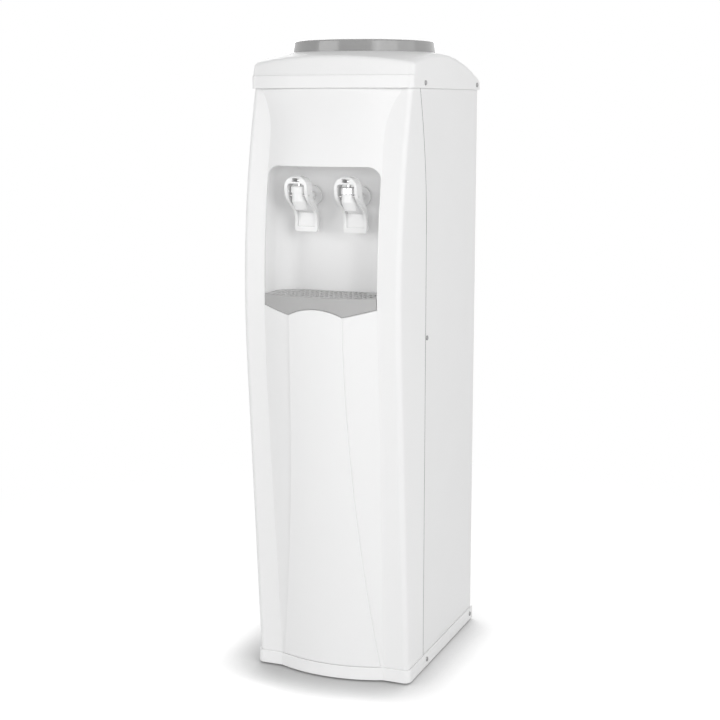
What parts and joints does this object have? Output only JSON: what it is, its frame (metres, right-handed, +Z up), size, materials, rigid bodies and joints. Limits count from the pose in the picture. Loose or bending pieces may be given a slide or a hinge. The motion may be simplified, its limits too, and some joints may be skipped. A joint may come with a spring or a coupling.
{
  "type": "water cooler",
  "caption": "Floor-standing column water cooler with a bowed front, alcove with push-lever taps, drip tray, domed top with bottle collar, and a compressor with wire condenser behind.",
  "frame": {"origin": "on the floor, below the middle of the overall box", "axes": "+Z up, the front with the taps faces -Y, +X to the right of someone facing the taps"},
  "size_m": [0.2676, 0.3956, 1],
  "materials": {
    "white_shell": "satin moulded white",
    "side_paint": "satin white enamel on sheet steel",
    "grey_plastic": "fine matt grey",
    "tap_white": "glossy white",
    "tap_chrome": "bright plated",
    "steel": "plain steel",
    "screw_steel": "dark plated",
    "silicone": "translucent silicone",
    "nut_plastic": "white moulded",
    "black_rubber": "matt black rubber",
    "tank_plastic": "food-grade natural white",
    "foam": "white bead foam",
    "copper": "bare copper tube",
    "galvanised": "zinc-coated sheet",
    "black_paint": "satin black paint",
    "black_plastic": "matt black"
  },
  "bodies": {
    "cabinet": {"alcove_liner": "white_shell", "base_plinth": "white_shell", "capillary_tube": "copper", "casing_screws": "screw_steel", "compressor": "black_paint", "compressor_bolts": "steel", "compressor_grommets": "black_rubber", "compressor_plate": "galvanised", "condenser_clips": "black_plastic", "condenser_tube": "black_paint", "condenser_wires": "black_paint", "cord_gland": "black_rubber", "discharge_line": "copper", "evaporator_coil": "copper", "filter_drier": "copper", "foot_pads": "black_rubber", "front_panel": "white_shell", "hose_left": "silicone", "hose_right": "silicone", "lever_pins_left": "steel", "lever_pins_right": "steel", "liquid_line": "copper", "rear_cover": "galvanised", "rear_crossbar": "galvanised", "relay_cover": "black_plastic", "reservoir_tank": "tank_plastic", "side_panel_left": "side_paint", "side_panel_right": "side_paint", "suction_line": "copper", "tank_baffle": "tank_plastic", "tank_insulation": "foam", "tank_lid": "tank_plastic", "tank_shelf": "galvanised", "tap_body_left": "tap_white", "tap_body_right": "tap_white", "tap_bonnet_left": "tap_white", "tap_bonnet_right": "tap_chrome", "tap_gasket_left": "silicone", "tap_gasket_right": "silicone", "tap_nut_left": "nut_plastic", "tap_nut_right": "nut_plastic", "thermostat": "black_plastic", "top_cap": "white_shell", "valve_spring_left": "steel", "valve_spring_right": "steel"},
    "lever_left": {"tap_lever_left": "tap_white"},
    "lever_right": {"tap_lever_right": "tap_white"},
    "stem_left": {"valve_stem_left": "tap_chrome", "valve_seal_left": "silicone"},
    "stem_right": {"valve_stem_right": "tap_chrome", "valve_seal_right": "silicone"},
    "drip_tray": {"drip_tray": "grey_plastic"},
    "drip_grille": {"drip_grille": "grey_plastic"},
    "bottle_collar": {"bottle_collar": "grey_plastic"},
    "thermostat_knob": {"thermostat_knob": "black_plastic"}
  },
  "joints": [
    {"name": "lever_left_press", "type": "hinge", "parent": "cabinet", "child": "lever_left", "pos_m": [-0.0405, -0.16118, 0.768], "axis": [1, 0, 0], "range_deg": [0, 12], "stiffness_Nm_per_rad": 0.3, "springref_deg": -8.59},
    {"name": "stem_left_lift", "type": "slide", "parent": "cabinet", "child": "stem_left", "axis": [0, 0, 1], "range_m": [0, 0.0026], "deforming": ["valve_spring_left"]},
    {"name": "lever_right_press", "type": "hinge", "parent": "cabinet", "child": "lever_right", "pos_m": [0.0405, -0.16118, 0.768], "axis": [1, 0, 0], "range_deg": [0, 12], "stiffness_Nm_per_rad": 0.3, "springref_deg": -8.59},
    {"name": "stem_right_lift", "type": "slide", "parent": "cabinet", "child": "stem_right", "axis": [0, 0, 1], "range_m": [0, 0.0026], "deforming": ["valve_spring_right"]},
    {"name": "drip_tray_pull", "type": "slide", "parent": "cabinet", "child": "drip_tray", "axis": [0, -1, 0], "range_m": [0, 0.11]},
    {"name": "drip_grille_lift", "type": "slide", "parent": "drip_tray", "child": "drip_grille", "axis": [0, 0, 1], "range_m": [0, 0.06]},
    {"name": "bottle_collar_lift", "type": "slide", "parent": "cabinet", "child": "bottle_collar", "axis": [0, 0, 1], "range_m": [0, 0.12]},
    {"name": "thermostat_turn", "type": "hinge", "parent": "cabinet", "child": "thermostat_knob", "pos_m": [0.07, 0.18682, 0.76], "axis": [0, 1, 0], "range_deg": [0, 270]}
  ],
  "couplings": [
    {"joint": "stem_left_lift", "follows": "lever_left_press", "m_per_rad": 0.012},
    {"joint": "stem_right_lift", "follows": "lever_right_press", "m_per_rad": 0.012}
  ]
}
